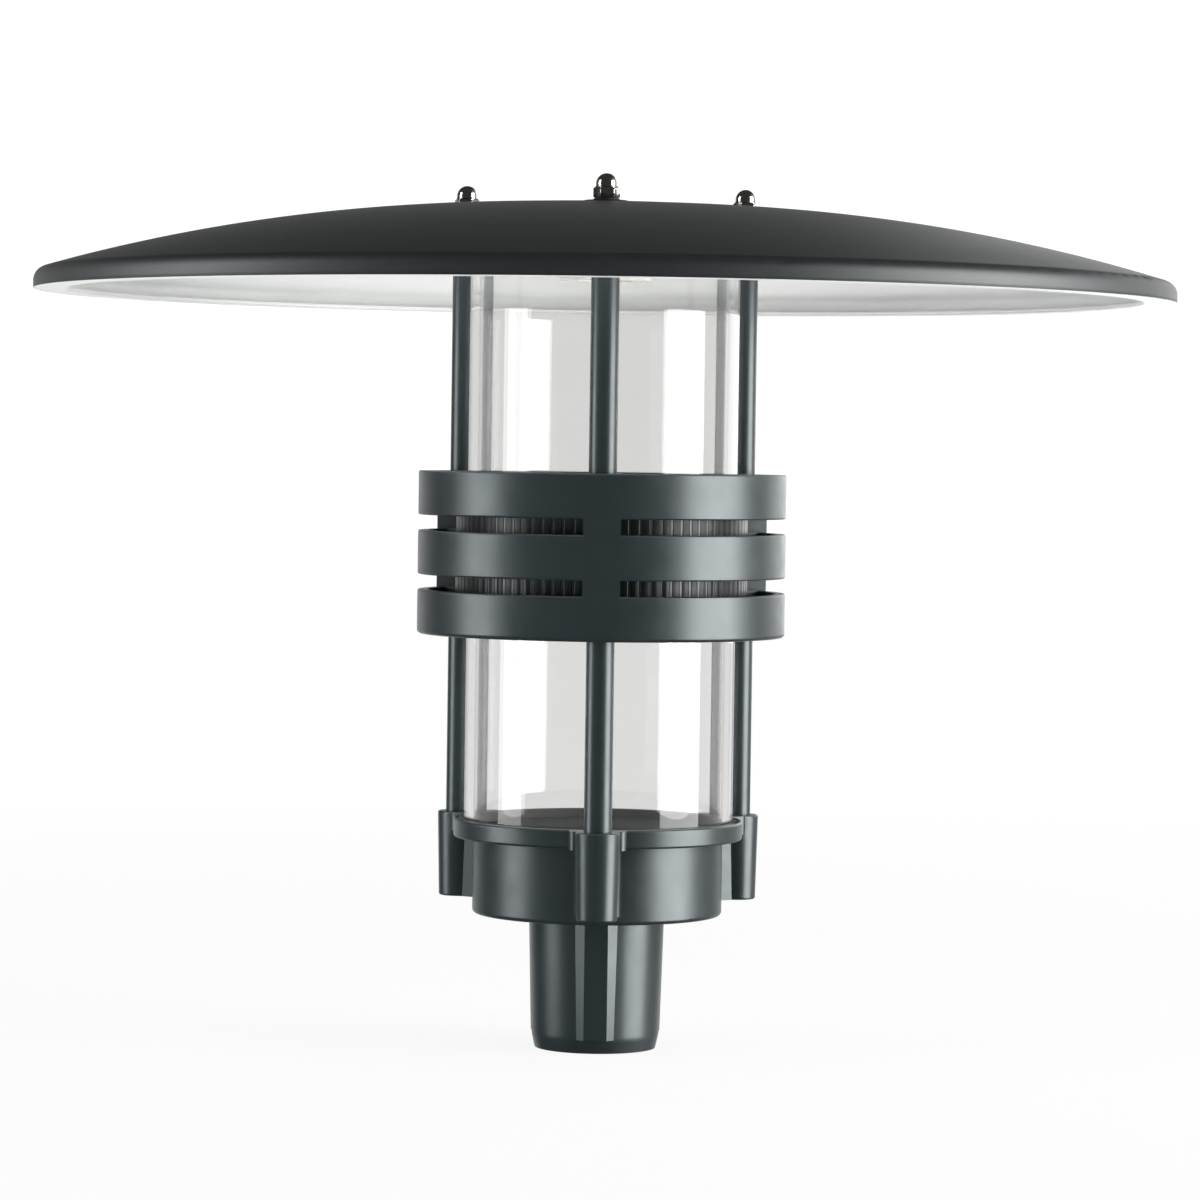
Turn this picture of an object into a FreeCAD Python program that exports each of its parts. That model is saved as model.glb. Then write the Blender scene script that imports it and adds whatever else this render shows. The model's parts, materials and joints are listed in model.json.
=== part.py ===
import FreeCAD, Part
import math
import os

from FreeCAD import Vector

# A post top light: a wide shallow shade on three rods over a clear cylinder that passes through a
# slotted ring, all standing on a cast foot that sleeves over a post. Millimetres, +Z up, the origin
# at the centre of the foot's open end, the front rod towards -Y.

# Rods and heights
ROD_CIRCLE_R = 83.5
ROD_NAMES = ("front", "right", "left")
FRONT_ANGLE = -90.0
TUBE_R = 7.0
TIE_ROD_R = 4.0
TIE_HOLE_CLEARANCE = 0.3
TUBE_BORE_CLEARANCE = 0.6
LOWER_ROD_RUN = 94.3
THREAD_CLEARANCE = 0.1
TUBE_SOCKET_DEPTH = 3.0
TUBE_SOCKET_CLEARANCE = 0.1

# Foot: sleeve for the post, cup, flange and lugs in one casting
POST_BORE_R = 30.2
POST_BORE_DEPTH = 64.0
SLEEVE_END_WALL = 0.8
SLEEVE_NOSE_WALL = 2.4
SLEEVE_NOSE_HEIGHT = 7.0
SLEEVE_DRAFT = 2.0
SLEEVE_ROOF = 8.0
CUP_FLOOR_THICK = 3.5
CUP_DEPTH = 45.0
CUP_SETBACK = 5.1
CUP_WALL = 3.6
CUP_EDGE_R = 2.2
FLANGE_LAND = 2.6
FLANGE_THICK = 9.4
FLANGE_EDGE_R = 1.2
SEAT_DEPTH = 6.0
SEAT_CLEARANCE = 0.2
LUG_RISE = 1.0
LUG_TOP_R = 11.2
LUG_BOTTOM_R = 10.2
LUG_EDGE_R = 1.0
LUG_NECK_HALF_WIDTH = 7.5
LUG_NECK_FILLET_R = 6.0
LUG_ROOT_DEPTH = 5.0
EAR_HALF_WIDTH = 14.3
EAR_SETBACK = 1.7
EAR_EDGE_R = 4.0
NUT_POCKET_CLEARANCE = 0.2
NUT_POCKET_DEPTH = 8.0
RIB_BOTTOM_Z = 7.0
RIB_FACE_HALF_WIDTH = 5.9
RIB_TOP_HALF_WIDTH = 11.7
RIB_BOTTOM_HALF_WIDTH = 10.0
RIB_RISE = 2.3
CABLE_HOLE_R = 10.0

# Cover over the wiring space, held on three posts inside the cup
COVER_CLEARANCE = 0.6
COVER_THICK = 2.0
COVER_POST_INSET = 5.8
COVER_POST_R = 5.5
COVER_POST_ANGLES = (90.0, 210.0, 330.0)
COVER_SCREW_R = 2.0
COVER_SCREW_REACH = 9.0

# Clear cylinder and its two rubber channels
GLASS_ROD_GAP = 7.5
GLASS_WALL = 5.0
SEAL_WALL = 2.1
SEAL_INNER_WALL = 1.3
SEAL_BASE = 2.0
SEAL_GRIP = 4.0
SEAL_CLEARANCE = 0.1

# Slotted ring
RING_OVERHANG = 10.5
RING_WALL = 5.5
RING_HEIGHT = 22.5
RING_GAP = 7.75
RING_COUNT = 3
RING_EDGE_R = 0.9
RING_FOOT_EDGE_R = 2.0
BRIDGE_HALF_WIDTH = 9.4
BRIDGE_NARROWING = 3.5
LINER_GAP = 2.0
LINER_WALL = 3.5

# Shade
DOME_R = 290.0
APEX_OVER_RING = 136.6
SKIRT_HEIGHT = 3.9
DOME_WALL = 2.0
CROWN_ARC_R = 1500.0
CROWN_MARGIN = 16.5
FLANK_ARC_R = 840.0
SHOULDER_R = 7.0
LIP_WIDTH = 17.0
PAD_R = 11.0

# Plate under the shade
TOP_PLATE_MARGIN = 11.5
TOP_PLATE_THICK = 2.0
TOP_PLATE_SKIRT = 7.0
SPACER_THICK = 3.0
SPACER_R = 8.0
LEAD_HOLE_R = 5.0

# Fasteners
CAP_NUT_FLATS = 11.5
CAP_NUT_HEX_HEIGHT = 5.6
CAP_NUT_SHOULDER = 0.35
CAP_NUT_NECK = 1.4
CAP_NUT_THREAD_DEPTH = 9.0
WASHER_R = 8.0
WASHER_THICK = 1.0
ROD_NUT_FLATS = 13.0
ROD_NUT_HEIGHT = 6.5
SET_SCREW_R = 4.0
SET_SCREW_LENGTH = 6.0
SET_SCREW_Z = 18.0
SET_SCREW_BORE_SETBACK = 0.3
SET_SCREW_SOCKET_FLATS = 4.0

# Lamp holder
HOLDER_LENGTH = 29.6
HOLDER_BODY_R = 20.5
HOLDER_FLARE = 3.5
HOLDER_COLLAR_HEIGHT = 12.0
SHELL_R = 14.2
SHELL_WALL = 0.7
SHELL_CLEARANCE = 0.1
SHELL_RECESS = 3.0
HOLDER_ROOF = 5.0
CONTACT_R = 4.5
CONTACT_HEIGHT = 4.0
HOLDER_SCREW_R = 1.5
HOLDER_SCREW_REACH = 8.0

# Terminal block on the cup floor
BLOCK_POST_GAP = 6.5
BLOCK_EAR = 7.0
BLOCK_WIDTH = 17.0
BLOCK_BASE_HEIGHT = 6.0
POLE_COUNT = 3
POLE_PITCH = 12.0
POLE_LENGTH = 8.5
POLE_HEIGHT = 15.0
WIRE_HOLE_R = 2.2
WIRE_HOLE_Z = 5.5
POLE_SCREW_R = 1.9
POLE_SCREW_OFFSET = 4.5
POLE_SCREW_DEPTH = 5.0
BLOCK_FIXING_R = 1.5
BLOCK_FIXING_REACH = 2.4
BLOCK_FIXING_TIP_GAP = 0.4

# Grommet in the cup floor
GROMMET_BORE_R = 6.0
GROMMET_LIP_R = 13.0
GROMMET_LIP = 2.0
GROMMET_RECESS_CLEARANCE = 0.3

# Places and radii that follow from the sizes above
ROD_ANGLES = {name: FRONT_ANGLE + i * 360.0 / len(ROD_NAMES) for i, name in enumerate(ROD_NAMES)}
TIE_HOLE_R = TIE_ROD_R + TIE_HOLE_CLEARANCE
TUBE_BORE_R = TIE_ROD_R + TUBE_BORE_CLEARANCE
SLEEVE_END_R = POST_BORE_R + SLEEVE_END_WALL
SLEEVE_NOSE_R = POST_BORE_R + SLEEVE_NOSE_WALL
SLEEVE_TOP_R = SLEEVE_NOSE_R + SLEEVE_DRAFT
NUT_POCKET_R = ROD_NUT_FLATS / math.sqrt(3) + NUT_POCKET_CLEARANCE
CAP_NUT_DOME_R = CAP_NUT_FLATS / 2 - CAP_NUT_SHOULDER
CROWN_REACH = ROD_CIRCLE_R + CROWN_MARGIN
HOLDER_MOUTH_R = HOLDER_BODY_R + HOLDER_FLARE
HOLDER_SCREW_OFFSET = (SHELL_R + HOLDER_BODY_R) / 2
GLASS_R = ROD_CIRCLE_R - TUBE_R - GLASS_ROD_GAP
SEAL_OUTER_R = GLASS_R + SEAL_CLEARANCE + SEAL_WALL
SEAL_INNER_R = GLASS_R - GLASS_WALL - SEAL_CLEARANCE - SEAL_INNER_WALL
SEAT_STEP_R = SEAL_OUTER_R + SEAT_CLEARANCE
FLANGE_R = SEAT_STEP_R + FLANGE_LAND
CUP_R = GLASS_R - CUP_SETBACK
CUP_INNER_R = CUP_R - CUP_WALL
COVER_R = SEAL_INNER_R - COVER_CLEARANCE
COVER_POST_CIRCLE_R = CUP_INNER_R - COVER_POST_INSET
EAR_REACH = ROD_CIRCLE_R - EAR_SETBACK
LUG_ROOT = CUP_R - LUG_ROOT_DEPTH
RING_R = ROD_CIRCLE_R + RING_OVERHANG
LINER_BORE_R = GLASS_R + LINER_GAP
LINER_R = LINER_BORE_R + LINER_WALL
TOP_PLATE_R = ROD_CIRCLE_R + TOP_PLATE_MARGIN

# Heights that follow from the sizes above
SLEEVE_ROOF_Z = POST_BORE_DEPTH
CUP_FLOOR_Z = SLEEVE_ROOF_Z + SLEEVE_ROOF
CUP_BOTTOM_Z = CUP_FLOOR_Z - CUP_FLOOR_THICK
LUG_BOTTOM_Z = CUP_FLOOR_Z + LUG_RISE
FLANGE_TOP_Z = CUP_FLOOR_Z + CUP_DEPTH
FLANGE_BOTTOM_Z = FLANGE_TOP_Z - FLANGE_THICK
SEAT_STEP_Z = FLANGE_TOP_Z - SEAT_DEPTH
RING_BOTTOM_Z = FLANGE_TOP_Z + LOWER_ROD_RUN
RING_TOP_Z = RING_BOTTOM_Z + RING_COUNT * RING_HEIGHT + (RING_COUNT - 1) * RING_GAP
DOME_APEX_Z = RING_TOP_Z + APEX_OVER_RING
PAD_TOP_Z = DOME_APEX_Z - CROWN_ARC_R + math.sqrt(CROWN_ARC_R ** 2 - ROD_CIRCLE_R ** 2)
PAD_BOTTOM_Z = PAD_TOP_Z - DOME_WALL
TOP_PLATE_TOP_Z = PAD_BOTTOM_Z - SPACER_THICK
TOP_PLATE_BOTTOM_Z = TOP_PLATE_TOP_Z - TOP_PLATE_THICK
COVER_TOP_Z = SEAT_STEP_Z + COVER_THICK
GLASS_BOTTOM_Z = SEAT_STEP_Z + SEAL_BASE
GLASS_TOP_Z = TOP_PLATE_BOTTOM_Z - SEAL_BASE
NUT_SEAT_Z = LUG_BOTTOM_Z + NUT_POCKET_DEPTH
CAP_NUT_BASE_Z = PAD_TOP_Z + WASHER_THICK
HOLDER_ROOF_Z = TOP_PLATE_BOTTOM_Z - HOLDER_ROOF
HOLDER_MOUTH_Z = TOP_PLATE_BOTTOM_Z - HOLDER_LENGTH
POLES_LENGTH = (POLE_COUNT - 1) * POLE_PITCH + POLE_LENGTH
BLOCK_LENGTH = POLES_LENGTH + 2 * BLOCK_EAR
BLOCK_CENTRE_Y = COVER_POST_CIRCLE_R - COVER_POST_R - BLOCK_POST_GAP - BLOCK_WIDTH / 2
GROMMET_SEAT_Z = SLEEVE_ROOF_Z + GROMMET_LIP + GROMMET_RECESS_CLEARANCE
SET_SCREW_HOLE_END = SLEEVE_TOP_R + RIB_RISE - POST_BORE_R + 1


def disc(radius, low, high):
    return Part.makeCylinder(radius, high - low, Vector(0, 0, low))


def pipe(outer, inner, low, high):
    return disc(outer, low, high).cut(disc(inner, low - 1, high + 1))


def moved(shape, x, y, z=0.0):
    copy = shape.copy()
    copy.translate(Vector(x, y, z))
    return copy


def turned(shape, angle):
    copy = shape.copy()
    copy.rotate(Vector(0, 0, 0), Vector(0, 0, 1), angle)
    return copy


def on_rods(shape):
    """Copies of a shape drawn about the Z axis, one on each rod's centre line."""
    spot = moved(shape, ROD_CIRCLE_R, 0)
    return [turned(spot, angle) for angle in ROD_ANGLES.values()]


def joined(shapes):
    return shapes[0].multiFuse(shapes[1:]).removeSplitter()


def spun(edges):
    """A solid turned about Z from a closed outline in the XZ plane."""
    face = Part.Face(Part.Wire(edges))
    return face.revolve(Vector(0, 0, 0), Vector(0, 0, 1), 360)


def line(a, b):
    return Part.makeLine(Vector(a[0], 0, a[1]), Vector(b[0], 0, b[1]))


def outline(points):
    """Straight edges through (radius, height) points, closed."""
    ends = points[1:] + points[:1]
    return [line(a, b) for a, b in zip(points, ends)]


def arc_between(centre, radius, a, b):
    """The shorter arc about a centre from point a to point b, in the XZ plane."""
    mid_x = (a[0] + b[0]) / 2 - centre[0]
    mid_z = (a[1] + b[1]) / 2 - centre[1]
    stretch = radius / math.hypot(mid_x, mid_z)
    middle = Vector(centre[0] + mid_x * stretch, 0, centre[1] + mid_z * stretch)
    return Part.Arc(Vector(a[0], 0, a[1]), middle, Vector(b[0], 0, b[1])).toShape()


def rounded_outline(corners):
    """Closed outline from (radius, height, corner rounding); a zero rounding keeps the corner sharp."""
    edges = []
    count = len(corners)
    tangents = []
    for i in range(count):
        x, z, rounding = corners[i]
        before = corners[i - 1]
        after = corners[(i + 1) % count]
        to_before = Vector(before[0] - x, 0, before[1] - z).normalize()
        to_after = Vector(after[0] - x, 0, after[1] - z).normalize()
        corner = Vector(x, 0, z)
        if rounding == 0:
            tangents.append((corner, corner, None))
            continue
        half = to_before.getAngle(to_after) / 2
        reach = rounding / math.tan(half)
        bisector = (to_before + to_after).normalize()
        middle = corner + bisector * (rounding / math.sin(half) - rounding)
        tangents.append((corner + to_before * reach, corner + to_after * reach, middle))
    for i in range(count):
        start, end, middle = tangents[i]
        following = tangents[(i + 1) % count][0]
        if middle is not None:
            edges.append(Part.Arc(start, middle, end).toShape())
        edges.append(Part.makeLine(end, following))
    return edges


def hexagon(flats, low, high):
    radius = flats / math.sqrt(3)
    corners = [Vector(radius * math.cos(math.radians(60 * i)), radius * math.sin(math.radians(60 * i)), low)
               for i in range(7)]
    return Part.Face(Part.makePolygon(corners)).extrude(Vector(0, 0, high - low))


def chamfered_hexagon(flats, low, high):
    """A hexagon with its corners turned off at both ends, as on a made nut."""
    corner_r = flats / math.sqrt(3)
    face_r = flats / 2 * 0.96
    drop = (corner_r - face_r) * math.tan(math.radians(30))
    envelope = spun(outline([(0, low), (face_r, low), (corner_r, low + drop), (corner_r, high - drop),
                             (face_r, high), (0, high)]))
    return hexagon(flats, low, high).common(envelope)


def pan_screw(radius, seat, reach):
    """A slotted pan head screw standing on a seat, its shank running down by the reach."""
    head_r = radius * 1.9
    head_height = radius * 1.25
    head = spun(rounded_outline([(0, seat, 0), (head_r, seat, 0), (head_r, seat + head_height, radius * 0.5),
                                 (0, seat + head_height, 0)]))
    slot = Part.makeBox(head_r * 3, radius * 0.45, head_height, Vector(-head_r * 1.5, -radius * 0.225,
                                                                         seat + head_height * 0.5))
    return head.cut(slot).fuse(disc(radius, seat - reach, seat)).removeSplitter()


def dome_outline(wall):
    """Edges from the apex to the foot of the shoulder, set in from the outside by the wall."""
    crown_centre = (0.0, DOME_APEX_Z - CROWN_ARC_R)
    lean = math.asin(CROWN_REACH / CROWN_ARC_R)
    flank_shift = CROWN_ARC_R - FLANK_ARC_R
    flank_centre = (flank_shift * math.sin(lean), crown_centre[1] + flank_shift * math.cos(lean))
    shoulder_x = DOME_R - SHOULDER_R
    span = FLANK_ARC_R - SHOULDER_R
    shoulder_z = flank_centre[1] + math.sqrt(span ** 2 - (shoulder_x - flank_centre[0]) ** 2)
    shoulder_centre = (shoulder_x, shoulder_z)
    crown_r = CROWN_ARC_R - wall
    flank_r = FLANK_ARC_R - wall
    shoulder_r = SHOULDER_R - wall
    apex = (0.0, DOME_APEX_Z - wall)
    crown_end = (crown_r * math.sin(lean), crown_centre[1] + crown_r * math.cos(lean))
    towards = ((shoulder_x - flank_centre[0]) / span, (shoulder_z - flank_centre[1]) / span)
    flank_end = (flank_centre[0] + flank_r * towards[0], flank_centre[1] + flank_r * towards[1])
    foot = (DOME_R - wall, shoulder_z)
    edges = [arc_between(crown_centre, crown_r, apex, crown_end),
             arc_between(flank_centre, flank_r, crown_end, flank_end),
             arc_between(shoulder_centre, shoulder_r, flank_end, foot)]
    return apex, edges, foot


def dome_shade():
    outer_apex, outer_edges, outer_foot = dome_outline(0.0)
    inner_apex, inner_edges, inner_foot = dome_outline(DOME_WALL)
    inside = DOME_R - DOME_WALL
    lip_inside = DOME_R - LIP_WIDTH
    rim_z = outer_foot[1] - SKIRT_HEIGHT
    rim = [outer_foot, (DOME_R, rim_z), (lip_inside, rim_z),
           (lip_inside, rim_z + DOME_WALL), (inside, rim_z + DOME_WALL), inner_foot]
    edges = list(outer_edges)
    for start, end in zip(rim[:-1], rim[1:]):
        edges.append(line(start, end))
    edges += list(reversed(inner_edges))
    edges.append(line(inner_apex, outer_apex))
    shell = spun(Part.__sortEdges__(edges))
    for above in on_rods(disc(PAD_R, PAD_TOP_Z, PAD_TOP_Z + 6)):
        shell = shell.cut(above)
    for below in on_rods(disc(PAD_R, PAD_BOTTOM_Z - 6, PAD_BOTTOM_Z)):
        shell = shell.cut(below)
    shell = joined([shell] + on_rods(disc(PAD_R, PAD_BOTTOM_Z, PAD_TOP_Z)))
    for hole in on_rods(disc(TIE_HOLE_R, PAD_BOTTOM_Z - 1, PAD_TOP_Z + 1)):
        shell = shell.cut(hole)
    return shell


def ring_bridge():
    """One bridge, which is also the boss for a rod. In the slots it narrows towards the liner."""
    root = (LINER_BORE_R + LINER_R) / 2
    block = Part.makeBox(RING_R - root, 2 * BRIDGE_HALF_WIDTH, RING_TOP_Z - RING_BOTTOM_Z,
                         Vector(root, -BRIDGE_HALF_WIDTH, RING_BOTTOM_Z))
    envelope = spun(rounded_outline([(LINER_BORE_R, RING_BOTTOM_Z, 0),
                                     (RING_R, RING_BOTTOM_Z, RING_FOOT_EDGE_R),
                                     (RING_R, RING_TOP_Z, RING_EDGE_R), (LINER_BORE_R, RING_TOP_Z, 0)]))
    bridge = block.common(envelope)
    beyond = BRIDGE_HALF_WIDTH + 1
    for i in range(1, RING_COUNT):
        slot_top = RING_BOTTOM_Z + i * (RING_HEIGHT + RING_GAP)
        for side in (-1, 1):
            corners = [Vector(u, side * v, slot_top - RING_GAP)
                       for u, v in ((RING_R, BRIDGE_HALF_WIDTH), (RING_R, beyond), (root, beyond),
                                    (root, BRIDGE_HALF_WIDTH - BRIDGE_NARROWING))]
            wedge = Part.Face(Part.makePolygon(corners + corners[:1])).extrude(Vector(0, 0, RING_GAP))
            bridge = bridge.cut(wedge)
    return bridge


def louvre_ring():
    """Rings round a liner, carried by three bridges."""
    inner_r = RING_R - RING_WALL
    pitch = RING_HEIGHT + RING_GAP
    pieces = [pipe(LINER_R, LINER_BORE_R, RING_BOTTOM_Z, RING_TOP_Z)]
    for i in range(RING_COUNT):
        low = RING_BOTTOM_Z + i * pitch
        high = low + RING_HEIGHT
        foot_edge_r = RING_FOOT_EDGE_R if i == 0 else RING_EDGE_R
        pieces.append(spun(rounded_outline([(inner_r, low, RING_EDGE_R), (RING_R, low, foot_edge_r),
                                            (RING_R, high, RING_EDGE_R), (inner_r, high, RING_EDGE_R)])))
    for angle in ROD_ANGLES.values():
        pieces.append(turned(ring_bridge(), angle))
    casting = joined(pieces)
    socket_r = TUBE_R + TUBE_SOCKET_CLEARANCE
    for cutter in (disc(TIE_HOLE_R, RING_BOTTOM_Z - 1, RING_TOP_Z + 1),
                   disc(socket_r, RING_BOTTOM_Z - 1, RING_BOTTOM_Z + TUBE_SOCKET_DEPTH),
                   disc(socket_r, RING_TOP_Z - TUBE_SOCKET_DEPTH, RING_TOP_Z + 1)):
        for hole in on_rods(cutter):
            casting = casting.cut(hole)
    return casting


def lug_neck():
    """A narrow web between a lug and the cup, with a hollow fillet each side where it meets the cup."""
    fillet_v = LUG_NECK_HALF_WIDTH + LUG_NECK_FILLET_R
    fillet_u = math.sqrt((CUP_R + LUG_NECK_FILLET_R) ** 2 - fillet_v ** 2)
    centre = Vector(fillet_u, fillet_v, LUG_BOTTOM_Z)
    to_neck = Vector(0, -1, 0)
    to_cup = Vector(-fillet_u, -fillet_v, 0).normalize()
    between = (to_neck + to_cup).normalize()
    on_neck, middle, on_cup = (centre + way * LUG_NECK_FILLET_R for way in (to_neck, between, to_cup))
    root = Vector(LUG_ROOT, on_cup.y, LUG_BOTTOM_Z)
    end = Vector(ROD_CIRCLE_R, LUG_NECK_HALF_WIDTH, LUG_BOTTOM_Z)

    def across(point):
        return Vector(point.x, -point.y, point.z)

    edges = [Part.makeLine(root, on_cup), Part.Arc(on_cup, middle, on_neck).toShape(),
             Part.makeLine(on_neck, end), Part.makeLine(end, across(end)),
             Part.makeLine(across(end), across(on_neck)),
             Part.Arc(across(on_neck), across(middle), across(on_cup)).toShape(),
             Part.makeLine(across(on_cup), across(root)), Part.makeLine(across(root), root)]
    middle_of_flange = (FLANGE_BOTTOM_Z + FLANGE_TOP_Z) / 2
    return Part.Face(Part.Wire(edges)).extrude(Vector(0, 0, middle_of_flange - LUG_BOTTOM_Z))


def lug():
    """A drafted round boss about a rod, its neck, and the ear of the flange that it stands in."""
    boss = Part.makeCone(LUG_BOTTOM_R, LUG_TOP_R, FLANGE_TOP_Z - LUG_BOTTOM_Z,
                         Vector(ROD_CIRCLE_R, 0, LUG_BOTTOM_Z))
    rims = [edge for edge in boss.Edges if isinstance(edge.Curve, Part.Circle)]
    boss = boss.makeFillet(LUG_EDGE_R, rims)
    ear = Part.makeBox(EAR_REACH - LUG_ROOT, 2 * EAR_HALF_WIDTH, FLANGE_TOP_Z - FLANGE_BOTTOM_Z,
                       Vector(LUG_ROOT, -EAR_HALF_WIDTH, FLANGE_BOTTOM_Z))
    corners = [e for e in ear.Edges
               if abs(e.Vertexes[0].X - EAR_REACH) < 0.01 and abs(e.Vertexes[1].X - EAR_REACH) < 0.01
               and abs(e.Vertexes[0].Z - e.Vertexes[1].Z) > 1]
    return joined([boss, lug_neck(), ear.makeFillet(EAR_EDGE_R, corners)])


def sleeve_radius(height):
    """Outside radius of the drafted sleeve above its nose."""
    share = (height - SLEEVE_NOSE_HEIGHT) / (CUP_BOTTOM_Z - SLEEVE_NOSE_HEIGHT)
    return SLEEVE_NOSE_R + share * (SLEEVE_TOP_R - SLEEVE_NOSE_R)


def rib_outline(half_width, height):
    """A flat faced rib with sloping flanks that run into the sleeve."""
    face_x = sleeve_radius(height) + RIB_RISE
    root_x = math.sqrt(sleeve_radius(height) ** 2 - half_width ** 2) - 0.4
    deep_x = POST_BORE_R + 1.0
    points = [Vector(deep_x, -half_width * 0.8, height), Vector(root_x, -half_width, height),
              Vector(face_x, -RIB_FACE_HALF_WIDTH, height), Vector(face_x, RIB_FACE_HALF_WIDTH, height),
              Vector(root_x, half_width, height), Vector(deep_x, half_width * 0.8, height)]
    return Part.makePolygon(points + points[:1])


def rib():
    return Part.makeLoft([rib_outline(RIB_BOTTOM_HALF_WIDTH, RIB_BOTTOM_Z),
                          rib_outline(RIB_TOP_HALF_WIDTH, CUP_BOTTOM_Z + 1)], True, True)


def base_casting():
    body = spun(rounded_outline([(0, 0, 0), (SLEEVE_END_R, 0, 0),
                                 (SLEEVE_NOSE_R, SLEEVE_NOSE_HEIGHT, SLEEVE_NOSE_HEIGHT * 2),
                                 (SLEEVE_TOP_R, CUP_BOTTOM_Z, 1.5), (CUP_R, CUP_BOTTOM_Z, CUP_EDGE_R),
                                 (CUP_R, FLANGE_BOTTOM_Z, 0.8), (FLANGE_R, FLANGE_BOTTOM_Z, FLANGE_EDGE_R),
                                 (FLANGE_R, FLANGE_TOP_Z, FLANGE_EDGE_R), (0, FLANGE_TOP_Z, 0)]))
    additions = []
    for angle in ROD_ANGLES.values():
        additions.append(turned(lug(), angle))
        additions.append(turned(rib(), angle))
    body = joined([body] + additions)
    inside = spun(outline([(0, CUP_FLOOR_Z), (CUP_INNER_R, CUP_FLOOR_Z), (CUP_INNER_R, SEAT_STEP_Z),
                           (SEAT_STEP_R, SEAT_STEP_Z), (SEAT_STEP_R, FLANGE_TOP_Z + 1),
                           (0, FLANGE_TOP_Z + 1)]))
    body = body.cut(inside)
    body = body.cut(disc(POST_BORE_R, -1, SLEEVE_ROOF_Z))
    body = body.cut(disc(CABLE_HOLE_R, SLEEVE_ROOF_Z - 1, CUP_FLOOR_Z + 1))
    body = body.cut(disc(GROMMET_LIP_R + GROMMET_RECESS_CLEARANCE, SLEEVE_ROOF_Z - 1, GROMMET_SEAT_Z))
    post = moved(disc(COVER_POST_R, CUP_FLOOR_Z - 1, SEAT_STEP_Z), COVER_POST_CIRCLE_R, 0)
    posts = [turned(post, angle) for angle in COVER_POST_ANGLES]
    body = joined([body] + posts)
    screw_end = SEAT_STEP_Z - COVER_SCREW_REACH - 2
    screw_hole = moved(disc(COVER_SCREW_R + THREAD_CLEARANCE, screw_end, SEAT_STEP_Z + 1),
                       COVER_POST_CIRCLE_R, 0)
    for angle in COVER_POST_ANGLES:
        body = body.cut(turned(screw_hole, angle))
    socket_r = TUBE_R + TUBE_SOCKET_CLEARANCE
    for cutter in (disc(TIE_HOLE_R, LUG_BOTTOM_Z - 1, FLANGE_TOP_Z + 1),
                   disc(socket_r, FLANGE_TOP_Z - TUBE_SOCKET_DEPTH, FLANGE_TOP_Z + 1),
                   disc(NUT_POCKET_R, LUG_BOTTOM_Z - 1, NUT_SEAT_Z)):
        for hole in on_rods(cutter):
            body = body.cut(hole)
    for hole in set_screw_spots(disc(SET_SCREW_R + THREAD_CLEARANCE, -SET_SCREW_BORE_SETBACK - 1,
                                     SET_SCREW_HOLE_END)):
        body = body.cut(hole)
    for x in block_fixing_spots():
        hole_end = CUP_FLOOR_Z - BLOCK_FIXING_REACH - BLOCK_FIXING_TIP_GAP
        hole = disc(BLOCK_FIXING_R + THREAD_CLEARANCE, hole_end, CUP_FLOOR_Z + 1)
        body = body.cut(moved(hole, x, BLOCK_CENTRE_Y))
    return body


def set_screw_spots(shape):
    """A shape drawn up the Z axis, laid outwards through the two rear ribs just outside the bore."""
    spots = []
    for name in ("right", "left"):
        lying = shape.copy()
        lying.rotate(Vector(0, 0, 0), Vector(0, 1, 0), 90)
        lying.translate(Vector(POST_BORE_R + SET_SCREW_BORE_SETBACK, 0, SET_SCREW_Z))
        spots.append(turned(lying, ROD_ANGLES[name]))
    return spots


def set_screws():
    screw = disc(SET_SCREW_R, 0, SET_SCREW_LENGTH)
    edge = screw.Edges
    screw = screw.makeFillet(0.5, [e for e in edge if len(e.Vertexes) == 1])
    screw = screw.cut(hexagon(SET_SCREW_SOCKET_FLATS, SET_SCREW_LENGTH - 3.0, SET_SCREW_LENGTH + 1))
    return Part.makeCompound(set_screw_spots(screw))


def cap_nut():
    hex_top = CAP_NUT_BASE_Z + CAP_NUT_HEX_HEIGHT
    neck_top = hex_top + CAP_NUT_NECK
    hexed = chamfered_hexagon(CAP_NUT_FLATS, CAP_NUT_BASE_Z, hex_top)
    neck = disc(CAP_NUT_DOME_R, hex_top - 0.5, neck_top)
    cap = Part.makeSphere(CAP_NUT_DOME_R, Vector(0, 0, neck_top), Vector(0, 0, 1), 0, 90, 360)
    nut = joined([hexed, neck, cap])
    thread_end = CAP_NUT_BASE_Z + CAP_NUT_THREAD_DEPTH
    return nut.cut(disc(TIE_ROD_R + THREAD_CLEARANCE, CAP_NUT_BASE_Z - 1, thread_end))


def rod_nut():
    nut = chamfered_hexagon(ROD_NUT_FLATS, NUT_SEAT_Z - ROD_NUT_HEIGHT, NUT_SEAT_Z)
    return nut.cut(disc(TIE_ROD_R + THREAD_CLEARANCE, LUG_BOTTOM_Z - 1, NUT_SEAT_Z + 1))


def tie_rod():
    low = NUT_SEAT_Z - ROD_NUT_HEIGHT
    high = CAP_NUT_BASE_Z + CAP_NUT_THREAD_DEPTH - 0.5
    rod = disc(TIE_ROD_R, low, high)
    ends = [e for e in rod.Edges if len(e.Vertexes) == 1]
    return rod.makeChamfer(0.6, ends)


def channel(low, high, back, front):
    """A rubber channel round an end of the cylinder; back is the height of its closed side."""
    outer_gap = GLASS_R + SEAL_CLEARANCE
    inner_gap = GLASS_R - GLASS_WALL - SEAL_CLEARANCE
    ring = pipe(SEAL_OUTER_R, SEAL_INNER_R, low, high)
    return ring.cut(pipe(outer_gap, inner_gap, min(back, front), max(back, front)))


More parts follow.
